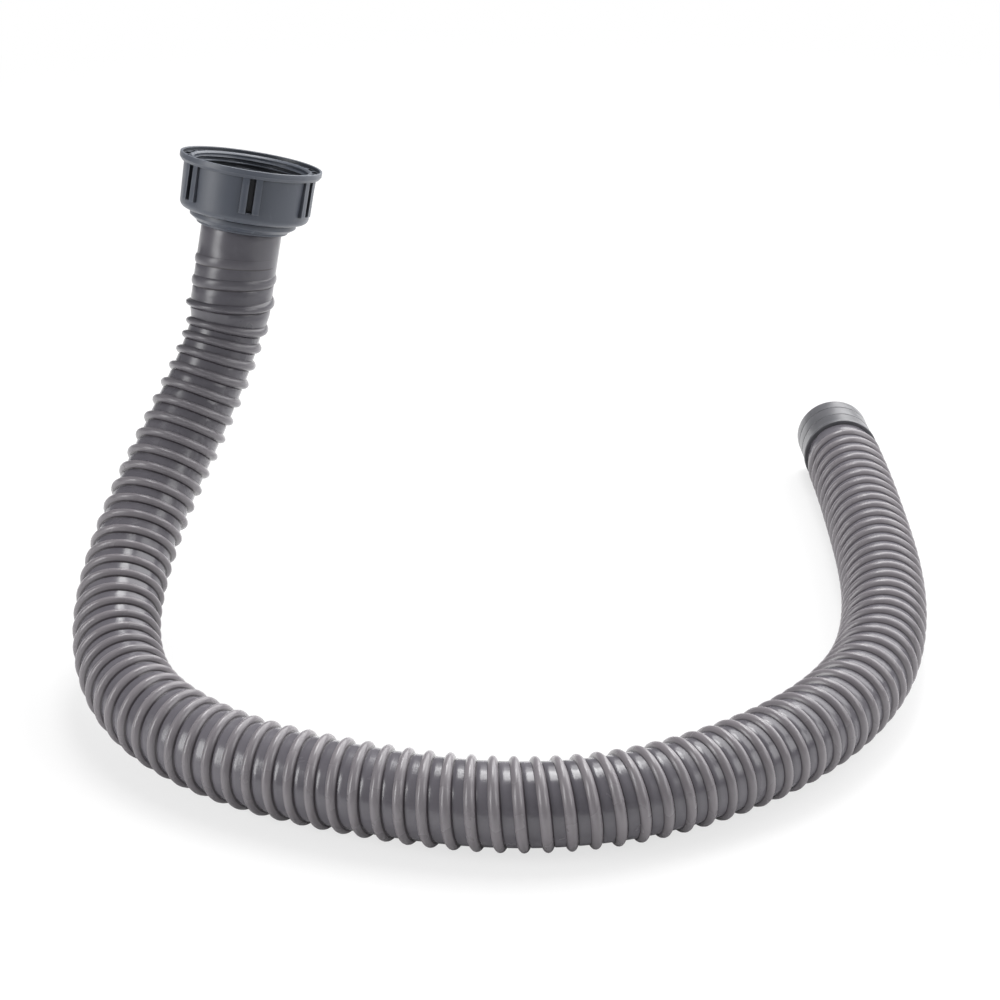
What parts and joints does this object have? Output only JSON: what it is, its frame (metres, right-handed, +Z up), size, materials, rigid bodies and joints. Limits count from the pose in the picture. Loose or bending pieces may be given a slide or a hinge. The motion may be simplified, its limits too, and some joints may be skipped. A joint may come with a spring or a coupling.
{
  "type": "sink drain hose",
  "caption": "Ribbed grey drain hose laid in a wide U, with a swivelling threaded union nut and washer at its raised inlet and a smooth cuff at its outlet",
  "frame": {"origin": "on the ground, under the middle of the whole part's bounding box", "axes": "+X across the U from the inlet side to the outlet side, +Y from the bend of the U to its two ends, +Z up"},
  "size_m": [0.4055, 0.3955, 0.2266],
  "materials": {
    "hose_plastic": "glossy grey plastic wall with duller ribs",
    "hard_plastic": "satin blue-grey moulded plastic",
    "washer_rubber": "plain black rubber",
    "cuff_plastic": "smooth satin grey plastic"
  },
  "bodies": {
    "hose_body": {"hose": "hose_plastic", "hose_tail": "hard_plastic", "sealing_washer": "washer_rubber", "outlet_cuff": "cuff_plastic"},
    "nut_body": {"union_nut": "hard_plastic"}
  },
  "joints": [
    {"name": "nut_turn", "type": "hinge", "parent": "hose_body", "child": "nut_body", "pos_m": [-0.1253, 0.07371, 0.20525], "axis": [0.1703, 0.1914, 0.9666], "continuous": true}
  ]
}
